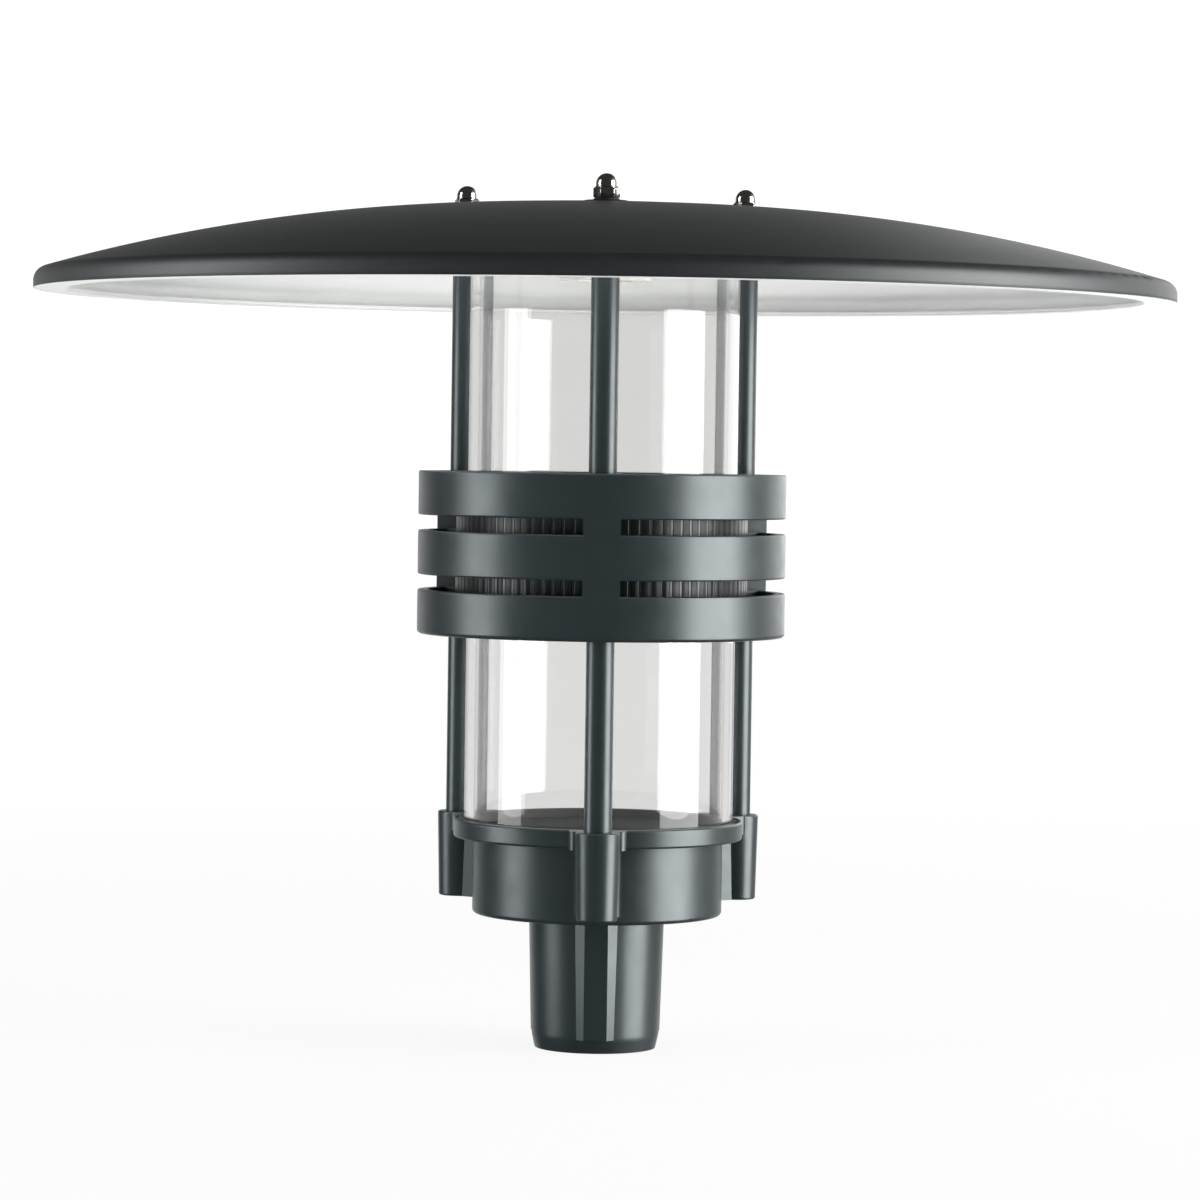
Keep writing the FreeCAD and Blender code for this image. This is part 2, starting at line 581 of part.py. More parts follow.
def top_plate():
    plate = spun(rounded_outline([(0, TOP_PLATE_BOTTOM_Z, 0),
                                  (TOP_PLATE_R - TOP_PLATE_THICK, TOP_PLATE_BOTTOM_Z, 0.5),
                                  (TOP_PLATE_R - TOP_PLATE_THICK, TOP_PLATE_TOP_Z - TOP_PLATE_SKIRT, 0),
                                  (TOP_PLATE_R, TOP_PLATE_TOP_Z - TOP_PLATE_SKIRT, 0),
                                  (TOP_PLATE_R, TOP_PLATE_TOP_Z, 2.0), (0, TOP_PLATE_TOP_Z, 0)]))
    for hole in on_rods(disc(TIE_HOLE_R, TOP_PLATE_BOTTOM_Z - 1, TOP_PLATE_TOP_Z + 1)):
        plate = plate.cut(hole)
    plate = plate.cut(disc(LEAD_HOLE_R, TOP_PLATE_BOTTOM_Z - 1, TOP_PLATE_TOP_Z + 1))
    screw_hole = disc(HOLDER_SCREW_R + THREAD_CLEARANCE, TOP_PLATE_BOTTOM_Z - 1, TOP_PLATE_TOP_Z + 1)
    for x in (-HOLDER_SCREW_OFFSET, HOLDER_SCREW_OFFSET):
        plate = plate.cut(moved(screw_hole, x, 0))
    return plate


def lampholder_body():
    collar_top = HOLDER_MOUTH_Z + HOLDER_COLLAR_HEIGHT
    flare = HOLDER_MOUTH_R - HOLDER_BODY_R
    body = spun(rounded_outline([(0, HOLDER_MOUTH_Z, 0), (HOLDER_MOUTH_R, HOLDER_MOUTH_Z, 1.5),
                                 (HOLDER_MOUTH_R, collar_top, 1.5), (HOLDER_BODY_R, collar_top + flare, 1.0),
                                 (HOLDER_BODY_R, TOP_PLATE_BOTTOM_Z, 0), (0, TOP_PLATE_BOTTOM_Z, 0)]))
    body = body.cut(disc(SHELL_R + SHELL_CLEARANCE, HOLDER_MOUTH_Z - 1, HOLDER_ROOF_Z))
    body = body.cut(disc(LEAD_HOLE_R - 2, HOLDER_ROOF_Z - 1, TOP_PLATE_BOTTOM_Z + 1))
    screw_hole = disc(HOLDER_SCREW_R + THREAD_CLEARANCE, TOP_PLATE_BOTTOM_Z - HOLDER_SCREW_REACH,
                      TOP_PLATE_BOTTOM_Z + 1)
    for x in (-HOLDER_SCREW_OFFSET, HOLDER_SCREW_OFFSET):
        body = body.cut(moved(screw_hole, x, 0))
    return body


def terminal_block():
    base = Part.makeBox(BLOCK_LENGTH, BLOCK_WIDTH, BLOCK_BASE_HEIGHT,
                        Vector(-BLOCK_LENGTH / 2, BLOCK_CENTRE_Y - BLOCK_WIDTH / 2, CUP_FLOOR_Z))
    poles = []
    for x in pole_spots():
        poles.append(Part.makeBox(POLE_LENGTH, BLOCK_WIDTH, POLE_HEIGHT,
                                  Vector(x - POLE_LENGTH / 2, BLOCK_CENTRE_Y - BLOCK_WIDTH / 2, CUP_FLOOR_Z)))
    block = joined([base] + poles)
    top = CUP_FLOOR_Z + POLE_HEIGHT
    for x in pole_spots():
        wire_start = Vector(x, BLOCK_CENTRE_Y - BLOCK_WIDTH / 2 - 1, CUP_FLOOR_Z + WIRE_HOLE_Z)
        wire_hole = Part.makeCylinder(WIRE_HOLE_R, BLOCK_WIDTH + 2, wire_start, Vector(0, 1, 0))
        block = block.cut(wire_hole)
        for y in (-POLE_SCREW_OFFSET, POLE_SCREW_OFFSET):
            block = block.cut(moved(disc(POLE_SCREW_R + THREAD_CLEARANCE, top - POLE_SCREW_DEPTH, top + 1),
                                    x, BLOCK_CENTRE_Y + y))
    for x in block_fixing_spots():
        block = block.cut(moved(disc(BLOCK_FIXING_R + THREAD_CLEARANCE, CUP_FLOOR_Z - 1,
                                     CUP_FLOOR_Z + BLOCK_BASE_HEIGHT + 1), x, BLOCK_CENTRE_Y))
    return block


def pole_spots():
    return [(i - (POLE_COUNT - 1) / 2) * POLE_PITCH for i in range(POLE_COUNT)]


def block_fixing_spots():
    reach = (POLES_LENGTH + BLOCK_EAR) / 2
    return (-reach, reach)


def terminal_screws():
    top = CUP_FLOOR_Z + POLE_HEIGHT
    low = top - POLE_SCREW_DEPTH
    screw = disc(POLE_SCREW_R, low, top - 1.0)
    slot = Part.makeBox(6, 0.7, 2, Vector(-3, -0.35, top - 2.0))
    screw = screw.cut(slot)
    return Part.makeCompound([moved(screw, x, BLOCK_CENTRE_Y + y)
                              for x in pole_spots() for y in (-POLE_SCREW_OFFSET, POLE_SCREW_OFFSET)])


def cable_grommet():
    floor_low = GROMMET_SEAT_Z
    return spun(rounded_outline([(GROMMET_BORE_R, floor_low - GROMMET_LIP, 0.6),
                                 (GROMMET_LIP_R, floor_low - GROMMET_LIP, 0.6), (GROMMET_LIP_R, floor_low, 0),
                                 (CABLE_HOLE_R, floor_low, 0), (CABLE_HOLE_R, CUP_FLOOR_Z, 0),
                                 (GROMMET_LIP_R, CUP_FLOOR_Z, 0),
                                 (GROMMET_LIP_R, CUP_FLOOR_Z + GROMMET_LIP, 0.6),
                                 (GROMMET_BORE_R, CUP_FLOOR_Z + GROMMET_LIP, 0.6)]))


def base_cover():
    cover = disc(COVER_R, SEAT_STEP_Z, COVER_TOP_Z)
    hole = moved(disc(COVER_SCREW_R + THREAD_CLEARANCE, SEAT_STEP_Z - 1, COVER_TOP_Z + 1),
                 COVER_POST_CIRCLE_R, 0)
    for angle in COVER_POST_ANGLES:
        cover = cover.cut(turned(hole, angle))
    return cover


def cover_screws():
    screw = moved(pan_screw(COVER_SCREW_R, COVER_TOP_Z, COVER_SCREW_REACH), COVER_POST_CIRCLE_R, 0)
    return Part.makeCompound([turned(screw, angle) for angle in COVER_POST_ANGLES])


def lampholder_screws():
    screw = pan_screw(HOLDER_SCREW_R, TOP_PLATE_TOP_Z, TOP_PLATE_THICK + HOLDER_SCREW_REACH - 0.5)
    return Part.makeCompound([moved(screw, x, 0) for x in (-HOLDER_SCREW_OFFSET, HOLDER_SCREW_OFFSET)])


def terminal_fixings():
    seat = CUP_FLOOR_Z + BLOCK_BASE_HEIGHT
    screw = pan_screw(BLOCK_FIXING_R, seat, BLOCK_BASE_HEIGHT + BLOCK_FIXING_REACH)
    return Part.makeCompound([moved(screw, x, BLOCK_CENTRE_Y) for x in block_fixing_spots()])


nodes = {
    "dome_shade": dome_shade(),
    "cap_nuts": Part.makeCompound(on_rods(cap_nut())),
    "seal_washers": Part.makeCompound(on_rods(pipe(WASHER_R, TIE_HOLE_R, PAD_TOP_Z, CAP_NUT_BASE_Z))),
    "dome_spacers": Part.makeCompound(on_rods(pipe(SPACER_R, TIE_HOLE_R, TOP_PLATE_TOP_Z, PAD_BOTTOM_Z))),
    "top_plate": top_plate(),
    "glass_top_seal": channel(GLASS_TOP_Z - SEAL_GRIP, TOP_PLATE_BOTTOM_Z, GLASS_TOP_Z,
                              GLASS_TOP_Z - SEAL_GRIP - 1),
    "glass_cylinder": pipe(GLASS_R, GLASS_R - GLASS_WALL, GLASS_BOTTOM_Z, GLASS_TOP_Z),
    "glass_base_seal": channel(SEAT_STEP_Z, GLASS_BOTTOM_Z + SEAL_GRIP, GLASS_BOTTOM_Z,
                               GLASS_BOTTOM_Z + SEAL_GRIP + 1),
    "louvre_ring": louvre_ring(),
    "base_casting": base_casting(),
    "base_cover": base_cover(),
    "cover_screws": cover_screws(),
    "lampholder_body": lampholder_body(),
    "lampholder_shell": pipe(SHELL_R, SHELL_R - SHELL_WALL, HOLDER_MOUTH_Z + SHELL_RECESS, HOLDER_ROOF_Z),
    "lampholder_contact": disc(CONTACT_R, HOLDER_ROOF_Z - CONTACT_HEIGHT, HOLDER_ROOF_Z),
    "lampholder_screws": lampholder_screws(),
    "terminal_block": terminal_block(),
    "terminal_screws": terminal_screws(),
    "terminal_fixings": terminal_fixings(),
    "cable_grommet": cable_grommet(),
    "set_screws": set_screws(),
    "rod_nuts": Part.makeCompound(on_rods(rod_nut())),
}

tie_rods = on_rods(tie_rod())
upper_tubes = on_rods(pipe(TUBE_R, TUBE_BORE_R, RING_TOP_Z - TUBE_SOCKET_DEPTH, TOP_PLATE_BOTTOM_Z))
lower_tubes = on_rods(pipe(TUBE_R, TUBE_BORE_R, FLANGE_TOP_Z - TUBE_SOCKET_DEPTH,
                           RING_BOTTOM_Z + TUBE_SOCKET_DEPTH))
for name, rod, upper, lower in zip(ROD_ANGLES, tie_rods, upper_tubes, lower_tubes):
    nodes["tie_rod_" + name] = rod
    nodes["upper_tube_" + name] = upper
    nodes["lower_tube_" + name] = lower

os.makedirs("parts", exist_ok=True)
for name, shape in nodes.items():
    if not shape.isValid():
        raise ValueError(name + " is not a valid shape")
    shape.exportStep("parts/" + name + ".step")
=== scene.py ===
import json
import math

import bmesh
import bpy
from mathutils import Matrix, Vector


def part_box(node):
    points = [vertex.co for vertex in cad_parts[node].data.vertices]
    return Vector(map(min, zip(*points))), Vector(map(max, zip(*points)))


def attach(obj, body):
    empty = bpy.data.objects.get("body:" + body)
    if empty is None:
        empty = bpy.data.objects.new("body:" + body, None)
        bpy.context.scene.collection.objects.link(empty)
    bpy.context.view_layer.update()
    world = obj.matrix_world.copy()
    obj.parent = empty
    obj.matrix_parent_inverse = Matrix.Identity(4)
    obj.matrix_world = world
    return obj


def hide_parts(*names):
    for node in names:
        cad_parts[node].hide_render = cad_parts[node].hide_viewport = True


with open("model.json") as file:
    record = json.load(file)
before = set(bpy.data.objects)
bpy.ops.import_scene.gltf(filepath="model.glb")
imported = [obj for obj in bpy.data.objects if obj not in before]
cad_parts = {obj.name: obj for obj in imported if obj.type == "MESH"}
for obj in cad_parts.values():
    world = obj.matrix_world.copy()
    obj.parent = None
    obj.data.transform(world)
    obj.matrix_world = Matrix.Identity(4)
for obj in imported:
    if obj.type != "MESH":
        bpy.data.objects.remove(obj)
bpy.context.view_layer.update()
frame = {"nodes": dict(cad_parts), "record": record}
cad_nodes = frame["nodes"]

# Lengths are in metres, angles in degrees and colours in linear red, green and blue.
# A pair named for X, Y or Z is where something fades in or out along that part of a ray's direction.

# Camera, fitted to edges in the photograph, and the way from the part's axis to the viewer
VIEWER_ANGLE = -90.0
CAMERA_PLACE = Vector((-0.0005, -2.3206, 0.3051))
CAMERA_DOWN = 1.875
CAMERA_ROLL = 0.80
CAMERA_LENS_MM = 136.1
CAMERA_SENSOR_MM = 36.0

# Lamps: a tall soft box each side, a card behind on the right, and a low fill for the shade's inside
SOFTBOX_DISTANCE = 1.55
LEFT_SOFTBOX = {"angle": -80.0, "width": 0.70, "bottom": -0.18, "top": 1.45, "radiance": 4.1}
RIGHT_SOFTBOX = {"angle": 73.0, "width": 1.14, "bottom": -0.38, "top": 1.45, "radiance": 7.1}
BACK_CARD = {
    "place": (0.84, 1.15, 0.64),
    "target": (0.15, 0.0, 0.42),
    "size": (1.16, 1.00),
    "radiance": 1.45,
}
LOW_FILL = {
    "place": (-0.88, -1.08, -0.02),
    "target": (0.0, 0.05, 0.42),
    "size": (1.40, 0.70),
    "radiance": 5.4,
}

# World: even light with more from the backdrop, and what reflections and the glass show of the room
AMBIENT = 0.20
BACKDROP_LIGHT = 0.90
BACKDROP_LIGHT_Y = (0.15, 1.00)
ROOM_IN_REFLECTIONS = 0.05
BACKDROP_SEEN_Y = (0.60, 1.00)
BACKDROP_SEEN_Z = (0.05, 0.45)
RIGHT_GLOW = 0.40
RIGHT_GLOW_X = (0.55, 0.85)
RIGHT_GLOW_Y = (-0.20, 0.10)
WHITE_THROUGH_GLASS = 0.79

# Floor: a wide disc that gets whiter with the distance from the part's axis
FLOOR_RADIUS = 14.0
FLOOR_EDGE_STEPS = 96
FLOOR_COLOUR = (0.78, 0.78, 0.78)
FLOOR_DRIFT = 0.01
FLOOR_LUMPS = 3.0
FLOOR_WHITE_NEAR = 0.88
FLOOR_WHITE_FAR = 1.0
FLOOR_WHITE_DISTANCES = (0.15, 1.6)

# Rods and the ring's bridges, which share their places round the axis
ROD_ANGLES = (-90.0, 30.0, 150.0)
ROD_CIRCLE_RADIUS = 0.0835
BRIDGE_HALF_ANGLE = 8.5

# Ribs on the wall behind the slots; a row is a share of the ring's height and a share of the rib's own
LINER_RADIUS = 0.0745
RIB_COUNT = 84
RIB_HALF_WIDTH = 0.0022
RIB_HEIGHT = 0.0003
RIB_ROOT = 0.0004
RIB_END_GAP = 0.0015
RIB_SAG = RIB_HALF_WIDTH ** 2 / (2.0 * LINER_RADIUS)
RIB_SECTION_STEPS = 8
RIB_MEAN_SHARE = 0.65
RIB_SWING = 0.35
RIB_WAVER_RADIANS = 2.4
RIB_TALL = 1.0
RIB_FAINT = 0.22
RIB_ROWS = ((0.0, RIB_TALL), (0.03, RIB_TALL), (0.42, RIB_TALL), (0.45, RIB_TALL),
            (0.51, RIB_FAINT), (0.54, RIB_FAINT), (0.97, RIB_FAINT), (1.0, RIB_FAINT))

# Thread rolled into the sheet inside the lamp holder
THREAD_PITCH = 0.0036
THREAD_DEPTH = 0.0011
THREAD_SHEET = 0.0004
THREAD_STEPS = 96
THREAD_ROWS = 90

# Cap nuts, each turned a little, and their washers
NUT_FLATS = 0.0115
NUT_FACE_SHARE = 0.96
NUT_CHAMFER_ANGLE = 30.0
NUT_HEX_HEIGHT = 0.0056
NUT_NECK = 0.0014
NUT_EDGE = 0.00045
NUT_DOME_RADIUS = 0.0054
NUT_DOME_ROWS = 14
NUT_BORE_RADIUS = 0.0041
NUT_BORE_DEPTH = 0.0090
NUT_STEPS = 96
NUT_TURNS = (4.0, 11.0, -9.0)
WASHER_RADIUS = 0.0065
WASHER_BULGE_SHARE = 0.25
WASHER_EDGE_ROWS = 4
WASHER_STEPS = 64

# Colours of the finishes
GRAPHITE = (0.0110, 0.0168, 0.0188)
PAINT_WHITE = (0.86, 0.86, 0.85)
SHADE_GRAPHITE = (0.0100, 0.0128, 0.0134)
SHADE_WHITE = (0.895, 0.900, 0.892)
# Painted shade: the lip is the same white paint as the shade's inside, made greyer because the lamps light
# its downward face more
SHADE_LIP_PAINTED_SHADE = (0.78, 0.785, 0.78)
GLASS_TINT = (0.930, 0.931, 0.922)
STAINLESS = (0.50, 0.49, 0.47)
ZINC = (0.58, 0.58, 0.57)
BRASS = (0.60, 0.44, 0.19)
RUBBER = (0.018, 0.018, 0.018)
PORCELAIN = (0.76, 0.75, 0.72)
TERMINAL_CREAM = (0.74, 0.73, 0.68)
CASTING_SKIN = (0.0135, 0.0165, 0.0160)
LINER_DARK = (0.0120, 0.0160, 0.0165)

# Reflectance; 0.5 is a plain plastic, and the baked paint carries a fine metal flake
PAINT_SPECULAR = 0.95
PAINT_SPECULAR_TINT = (0.91, 0.99, 1.0, 1.0)
SHADE_SPECULAR_TINT = (0.96, 1.0, 0.99, 1.0)
CASTING_SPECULAR = 0.08
LINER_SPECULAR = 0.38
GLASS_IOR = 1.49

# How a finish varies: the share that its colour drifts either way, and each layer's lumps to the metre
PAINT_DRIFT = {"share": 0.07, "colour_lumps": 35.0, "gloss_lumps": 90.0,
               "grain_lumps": 900.0, "grain_detail": 2.0}
METAL_DRIFT = {"share": 0.04, "colour_lumps": 220.0, "gloss_lumps": 600.0,
               "grain_lumps": 1500.0, "grain_detail": 2.0}
MOULDED_DRIFT = {"share": 0.10, "colour_lumps": 120.0, "gloss_lumps": 160.0,
                 "grain_lumps": 1200.0, "grain_detail": 3.0}
CASTING_DRIFT = {"share": 0.45, "colour_lumps": 260.0, "gloss_lumps": 300.0,
                 "grain_lumps": 420.0, "grain_detail": 4.0}
LINER_DRIFT = {"share": 0.10, "colour_lumps": 60.0, "gloss_lumps": 120.0,
               "grain_lumps": 260.0, "grain_detail": 2.0}
SHADE_DARK_DRIFT = 0.07
SHADE_WHITE_DRIFT = 0.02
SHADE_COLOUR_LUMPS = 25.0
SHADE_GLOSS_LUMPS = 70.0
GLASS_DRIFT = 0.006
GLASS_LUMPS = 18.0
GLASS_HAZE = 0.02
GLASS_HAZE_LUMPS = 40.0
GLASS_HAZE_RANGE = (0.45, 0.75)

# Shade: roughness, grain, rounding of its edges, and what tells its outside and its lip apart
SHADE_OUTSIDE_ROUGHNESS = (0.48, 0.50)
SHADE_INSIDE_ROUGHNESS = (0.32, 0.40)
SHADE_GRAIN = 0.00002
SHADE_EDGE_RADIUS = 0.003
SHADE_OUTWARD = 0.05
SHADE_UPWARD = 0.2
SHADE_SPLIT_Z = 0.3880
SHADE_LIP_HEIGHT = 0.0026

# Noise: the part of its range that most of it lies in, and its default detail and roughness
NOISE_MIDDLE = (0.3, 0.7)
NOISE_DETAIL = 3.0
NOISE_ROUGHNESS = 0.55

# The whole range of a share, and a Mix node's sockets by the kind of value: first, second and result
FULL_RANGE = (0.0, 1.0)
MIX_SOCKETS = {"FLOAT": (2, 3, 0), "RGBA": (6, 7, 2)}


# Node helpers

def empty_tree(owner):
    """The cleared node tree of a material or world."""
    owner.use_nodes = True
    owner.node_tree.nodes.clear()
    return owner.node_tree


def shader_tree(name):
    """A new material with a Principled shader, its node tree and that shader."""
    material = bpy.data.materials.new(name)
    tree = empty_tree(material)
    shader = tree.nodes.new("ShaderNodeBsdfPrincipled")
    output = tree.nodes.new("ShaderNodeOutputMaterial")
    tree.links.new(shader.outputs["BSDF"], output.inputs["Surface"])
    return material, tree, shader


def object_place(tree):
    """Place on the object in metres, the same for every piece because all sit at the origin."""
    return tree.nodes.new("ShaderNodeTexCoord").outputs["Object"]


def split(tree, vector):
    """The X, Y and Z of a vector."""
    node = tree.nodes.new("ShaderNodeSeparateXYZ")
    tree.links.new(vector, node.inputs["Vector"])
    return node.outputs


def noise(tree, lumps, detail=NOISE_DETAIL):
    """Noise from 0 to 1 with about so many lumps to the metre."""
    node = tree.nodes.new("ShaderNodeTexNoise")
    node.inputs["Scale"].default_value = lumps
    node.inputs["Detail"].default_value = detail
    node.inputs["Roughness"].default_value = NOISE_ROUGHNESS
    tree.links.new(object_place(tree), node.inputs["Vector"])
    return node.outputs["Fac"]


def spread(tree, value, low, high, between=NOISE_MIDDLE):
    """Map a value's range between two numbers to the range low to high."""
    node = tree.nodes.new("ShaderNodeMapRange")
    node.inputs["From Min"].default_value = between[0]
    node.inputs["From Max"].default_value = between[1]
    node.inputs["To Min"].default_value = low
    node.inputs["To Max"].default_value = high
    tree.links.new(value, node.inputs["Value"])
    return node.outputs["Result"]


def calc(tree, operation, first, second):
    """The result of a sum or comparison; either side may be a number or a socket."""
    node = tree.nodes.new("ShaderNodeMath")
    node.operation = operation
    for socket, value in zip(node.inputs, (first, second)):
        if isinstance(value, (int, float)):
            socket.default_value = value
        else:
            tree.links.new(value, socket)
    return node.outputs["Value"]


def blend(tree, factor, first, second, kind="RGBA"):
    """A colour, or a number with FLOAT, that goes from first to second with the factor."""
    node = tree.nodes.new("ShaderNodeMix")
    node.data_type = kind
    first_index, second_index, result_index = MIX_SOCKETS[kind]
    tree.links.new(factor, node.inputs["Factor"])
    for index, value in ((first_index, first), (second_index, second)):
        if isinstance(value, tuple):
            node.inputs[index].default_value = value + (1.0,)
        else:
            tree.links.new(value, node.inputs[index])
    return node.outputs[result_index]


def mix_shaders(tree, share, first, second):
    """A surface that goes from the first shader to the second with the share."""
    node = tree.nodes.new("ShaderNodeMixShader")
    for socket, value in zip(node.inputs, (share, first, second)):
        tree.links.new(value, socket)
    return node.outputs["Shader"]


def bump(tree, shader, height, distance):
    """Give a shader a bumpy skin of the given depth; the bump's node is returned."""
    node = tree.nodes.new("ShaderNodeBump")
    node.inputs["Distance"].default_value = distance
    node.inputs["Strength"].default_value = 1.0
    tree.links.new(height, node.inputs["Height"])
    tree.links.new(node.outputs["Normal"], shader.inputs["Normal"])
    return node


def tinted(tree, colour, share, lumps):
    """A colour that drifts by a share either way over lumps, given to the metre."""
    darker = tuple(value * (1.0 - share) for value in colour)
    lighter = tuple(value * (1.0 + share) for value in colour)
    return blend(tree, spread(tree, noise(tree, lumps), 0.0, 1.0), darker, lighter)


def layer_finish(tree, shader, colour, roughness, grain, drift):
    """The layers of an opaque finish: a colour and a gloss that drift, and a grain of the given depth."""
    base = tinted(tree, colour, drift["share"], drift["colour_lumps"])
    tree.links.new(base, shader.inputs["Base Color"])
    gloss = spread(tree, noise(tree, drift["gloss_lumps"]), *roughness)
    tree.links.new(gloss, shader.inputs["Roughness"])
    bump(tree, shader, noise(tree, drift["grain_lumps"], drift["grain_detail"]), grain)


# Finishes

def powder_coat(name, colour, roughness, grain):
    """Baked powder paint: a fine orange peel, with colour and gloss that drift a little."""
    material, tree, shader = shader_tree(name)
    shader.inputs["Specular IOR Level"].default_value = PAINT_SPECULAR
    shader.inputs["Specular Tint"].default_value = PAINT_SPECULAR_TINT
    layer_finish(tree, shader, colour, roughness, grain, PAINT_DRIFT)
    return material


def bright_metal(name, colour, roughness, grain):
    """Bare or plated metal, its gloss broken by a very fine grain."""
    material, tree, shader = shader_tree(name)
    shader.inputs["Metallic"].default_value = 1.0
    layer_finish(tree, shader, colour, roughness, grain, METAL_DRIFT)
    return material


def moulded(name, colour, roughness, grain):
    """Rubber, plastic or porcelain with the grain of its mould."""
    material, tree, shader = shader_tree(name)
    layer_finish(tree, shader, colour, roughness, grain, MOULDED_DRIFT)
    return material


def rough_casting(name, roughness, grain):
    """Bare dark casting skin: coarse, mottled and without gloss."""
    material, tree, shader = shader_tree(name)
    shader.inputs["Specular IOR Level"].default_value = CASTING_SPECULAR
    layer_finish(tree, shader, CASTING_SKIN, roughness, grain, CASTING_DRIFT)
    return material


def liner_finish(name, roughness, grain):
    """Ribs on the wall behind the slots: dark, with a weaker shine than the paint on the castings."""
    material, tree, shader = shader_tree(name)
    shader.inputs["Specular IOR Level"].default_value = LINER_SPECULAR
    layer_finish(tree, shader, LINER_DARK, roughness, grain, LINER_DRIFT)
    return material


def clear_glass(name):
    """Clear cylinder: polished, with the faint haze of a wiped surface."""
    material, tree, shader = shader_tree(name)
    shader.inputs["Transmission Weight"].default_value = 1.0
    shader.inputs["IOR"].default_value = GLASS_IOR
    tree.links.new(tinted(tree, GLASS_TINT, GLASS_DRIFT, GLASS_LUMPS), shader.inputs["Base Color"])
    haze = spread(tree, noise(tree, GLASS_HAZE_LUMPS), 0.0, GLASS_HAZE, GLASS_HAZE_RANGE)
    tree.links.new(haze, shader.inputs["Roughness"])
    return material


def shade_outside(tree, place, facing):
    """1 on the outside of the shade and 0 inside, told apart by which way the skin faces."""
    across = calc(tree, "MULTIPLY", place["X"], facing["X"])
    along = calc(tree, "MULTIPLY", place["Y"], facing["Y"])
    outward = calc(tree, "GREATER_THAN", calc(tree, "ADD", across, along), SHADE_OUTWARD)
    upward = calc(tree, "GREATER_THAN", facing["Z"], SHADE_UPWARD)
    above_lip = calc(tree, "GREATER_THAN", place["Z"], SHADE_SPLIT_Z)
    return calc(tree, "MAXIMUM", outward, calc(tree, "MULTIPLY", upward, above_lip))


def shade_colour(tree, outside, height):
    """Graphite outside and white inside, with painted shade on the lip at the rim: the same white made a
    little greyer.
    """
    dark = tinted(tree, SHADE_GRAPHITE, SHADE_DARK_DRIFT, SHADE_COLOUR_LUMPS)
    white = tinted(tree, SHADE_WHITE, SHADE_WHITE_DRIFT, SHADE_COLOUR_LUMPS)
    # Painted shade: a greyer copy of the inside white, laid on the brightly lit lip
    lip_painted_shade = tinted(tree, SHADE_LIP_PAINTED_SHADE, SHADE_WHITE_DRIFT, SHADE_COLOUR_LUMPS)
    lip_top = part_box("dome_shade")[0].z + SHADE_LIP_HEIGHT
    on_lip = calc(tree, "LESS_THAN", height, lip_top)
    return blend(tree, outside, blend(tree, on_lip, white, lip_painted_shade), dark)


def shade_paint(name):
    """Satin graphite on the outside of the shade and glossier white inside, with painted shade on the lip
    and softly rounded edges.
    """
    material, tree, shader = shader_tree(name)
    shader.inputs["Specular IOR Level"].default_value = PAINT_SPECULAR
    shader.inputs["Specular Tint"].default_value = SHADE_SPECULAR_TINT
    geometry = tree.nodes.new("ShaderNodeNewGeometry").outputs
    place = split(tree, geometry["Position"])
    outside = shade_outside(tree, place, split(tree, geometry["True Normal"]))
    tree.links.new(shade_colour(tree, outside, place["Z"]), shader.inputs["Base Color"])
    satin = spread(tree, noise(tree, SHADE_GLOSS_LUMPS), *SHADE_OUTSIDE_ROUGHNESS)
    gloss = spread(tree, noise(tree, SHADE_GLOSS_LUMPS), *SHADE_INSIDE_ROUGHNESS)
    tree.links.new(blend(tree, outside, gloss, satin, "FLOAT"), shader.inputs["Roughness"])
    grain = noise(tree, PAINT_DRIFT["grain_lumps"], PAINT_DRIFT["grain_detail"])
    peel = bump(tree, shader, grain, SHADE_GRAIN)
    rounded = tree.nodes.new("ShaderNodeBevel")
    rounded.inputs["Radius"].default_value = SHADE_EDGE_RADIUS
    tree.links.new(rounded.outputs["Normal"], peel.inputs["Normal"])
    return material


def make_finishes():
    """The finish of each material slot in the record."""
    return {
        "graphite_paint": powder_coat("graphite_powder_coat", GRAPHITE,
                                      roughness=(0.31, 0.37), grain=0.00001),
        "shade_paint": shade_paint("shade_two_tone_paint_and_painted_shade_on_lip"),
        "white_paint": powder_coat("white_powder_coat", PAINT_WHITE,
                                   roughness=(0.38, 0.46), grain=0.00002),
        "clear_glass": clear_glass("clear_cylinder"),
        "stainless": bright_metal("polished_stainless", STAINLESS,
                                  roughness=(0.10, 0.18), grain=0.000002),
        "zinc_steel": bright_metal("zinc_plated_steel", ZINC,
                                   roughness=(0.24, 0.40), grain=0.000008),
        "black_rubber": moulded("black_rubber", RUBBER,
                                roughness=(0.55, 0.70), grain=0.00003),
        "white_porcelain": moulded("white_glazed_porcelain", PORCELAIN,
                                   roughness=(0.10, 0.18), grain=0.000004),
        "brass": bright_metal("dull_brass", BRASS,
                              roughness=(0.25, 0.42), grain=0.000006),
        "terminal_plastic": moulded("terminal_plastic", TERMINAL_CREAM,
                                    roughness=(0.40, 0.52), grain=0.00002),
    }


def dress(piece, finish):
    """Give a piece one finish all over."""
    piece.data.materials.clear()
    piece.data.materials.append(finish)


def dress_solids(finishes, own_finishes):
    """Give each solid a finish of its own where it has one, or else that of its slot in the record."""
    for row in frame["record"]["subparts"]:
        finish = own_finishes.get(row["node"]) or finishes[row["material_slot"]]
        dress(cad_nodes[row["node"]], finish)
    cad_nodes["glass_cylinder"].visible_shadow = False    # clear: light gets through to what is inside


# Mesh helpers

def mesh_data(name, mesh):
    """A finished bmesh as mesh data."""
    data = bpy.data.meshes.new(name)
    mesh.to_mesh(data)
    mesh.free()
    return data


def in_scene(name, data):
    """A new object with the given data, in the scene."""
    thing = bpy.data.objects.new(name, data)
    bpy.context.scene.collection.objects.link(thing)
    return thing


